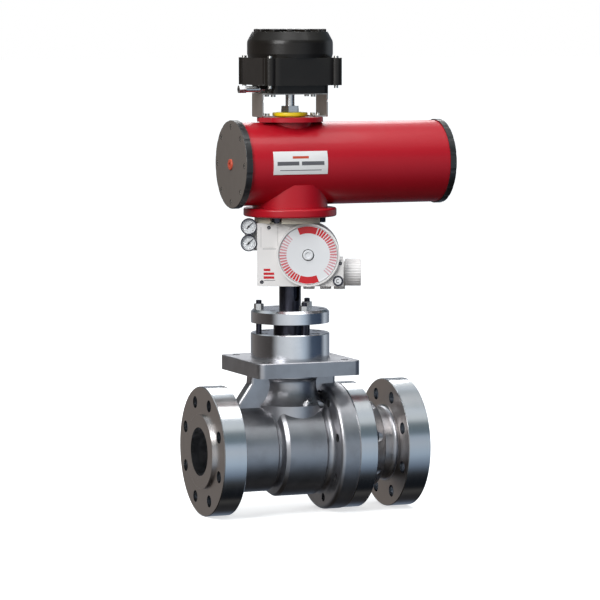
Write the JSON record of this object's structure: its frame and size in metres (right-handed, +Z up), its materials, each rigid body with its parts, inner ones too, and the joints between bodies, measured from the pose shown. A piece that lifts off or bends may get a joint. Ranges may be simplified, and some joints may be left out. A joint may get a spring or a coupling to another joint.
{
  "type": "pneumatic actuated valve",
  "caption": "Flanged split-body ball valve turned by a spring-return pneumatic cylinder, with a dial positioner between them and a limit switch box on top",
  "frame": {"origin": "centre of the ball, on the pipe axis and the stem axis", "axes": "X along the pipe from inlet to outlet, +Z up the stem"},
  "size_m": [0.55, 0.273, 1.0185],
  "materials": {
    "cast_steel": "bead-blasted casting with machined flanges",
    "machined_steel": "turned",
    "steel": "bright",
    "ball_steel": "polished",
    "dark_steel": "blackened",
    "sheet_steel": "satin stainless sheet",
    "seat": "filled fluoropolymer",
    "graphite": "graphite",
    "red_paint": "gloss red paint",
    "cap_coat": "black coating",
    "red_plastic": "moulded",
    "plate": "printed plate",
    "bearing": "acetal",
    "alloy": "machined",
    "rubber": "nitrile",
    "brass": "cut",
    "white_coat": "light powder coat",
    "dial": "printed",
    "gauge_white": "printed",
    "lens": "clear",
    "black_plastic": "moulded",
    "yellow": "moulded",
    "black_coat": "semi-gloss black coat"
  },
  "bodies": {
    "valve": {"valve_body": "cast_steel", "end_connector": "cast_steel", "body_bolts": "dark_steel", "seat_ring_inlet": "seat", "seat_ring_outlet": "seat", "bonnet": "machined_steel", "bonnet_screws": "dark_steel", "packing_rings": "graphite", "gland_follower": "dark_steel", "gland_flange": "machined_steel", "gland_studs": "dark_steel", "gland_nuts": "steel", "stem_guard": "dark_steel", "relief_fitting": "steel", "actuator_cylinder": "red_paint", "lower_flange": "red_paint", "upper_flange": "red_paint", "end_cap_left": "cap_coat", "end_cap_right": "cap_coat", "cap_screws": "steel", "air_plug": "red_plastic", "data_plate": "plate", "pinion_bearings": "bearing", "return_spring": "dark_steel", "positioner_housing": "white_coat", "positioner_cover": "white_coat", "positioner_screws": "dark_steel", "gauge_cases": "dark_steel", "gauge_faces": "gauge_white", "gauge_lenses": "lens", "terminal_cap": "white_coat", "vent_plug": "black_plastic", "mounting_adaptor": "white_coat", "adaptor_bolts": "dark_steel", "switchbox_bracket": "sheet_steel", "bracket_screws": "steel", "switchbox_base": "black_coat", "switchbox_cover": "black_coat", "switchbox_screws": "steel", "cable_gland": "steel", "microswitches": "black_plastic"},
    "rotor": {"ball": "ball_steel", "stem": "dark_steel", "stem_key": "steel", "drive_coupling": "steel", "feedback_gear": "brass", "pinion_shaft": "steel", "indicator_disc": "yellow", "shaft_clamp": "steel", "switch_shaft": "steel", "switch_cams": "yellow"},
    "piston_assembly": {"piston": "alloy", "piston_rack": "dark_steel", "piston_seal": "rubber", "spring_plate": "alloy"},
    "idler": {"idler_shaft": "brass"},
    "dial": {"dial_shaft": "brass", "dial_disc": "dial"},
    "supply_needle": {"supply_pointer": "black_plastic"},
    "output_needle": {"output_pointer": "black_plastic"}
  },
  "joints": [
    {"name": "valve_turn", "type": "hinge", "parent": "valve", "child": "rotor", "pos_m": [0, 0, 0.3], "axis": [0, 0, -1], "range_deg": [0, 90]},
    {"name": "piston_slide", "type": "slide", "parent": "valve", "child": "piston_assembly", "axis": [1, 0, 0], "range_m": [0, 0.05028], "deforming": ["return_spring"]},
    {"name": "idler_turn", "type": "hinge", "parent": "valve", "child": "idler", "pos_m": [0.03523, -0.01423, 0.411], "axis": [0, 0, 1], "range_deg": [-0.1, 90.1]},
    {"name": "dial_turn", "type": "hinge", "parent": "valve", "child": "dial", "pos_m": [0.03523, -0.01423, 0.411], "axis": [-0.3746, -0.9272, 0], "range_deg": [-0.1, 90.1]},
    {"name": "supply_needle_turn", "type": "hinge", "parent": "valve", "child": "supply_needle", "pos_m": [-0.09744, -0.01132, 0.47], "axis": [0.3746, 0.9272, 0], "range_deg": [-180, 90]},
    {"name": "output_needle_turn", "type": "hinge", "parent": "valve", "child": "output_needle", "pos_m": [-0.09744, -0.01132, 0.4355], "axis": [0.3746, 0.9272, 0], "range_deg": [-180, 90]}
  ],
  "couplings": [
    {"joint": "piston_slide", "follows": "valve_turn", "m_per_rad": 0.032},
    {"joint": "idler_turn", "follows": "valve_turn", "ratio": 1},
    {"joint": "dial_turn", "follows": "valve_turn", "ratio": 1}
  ]
}
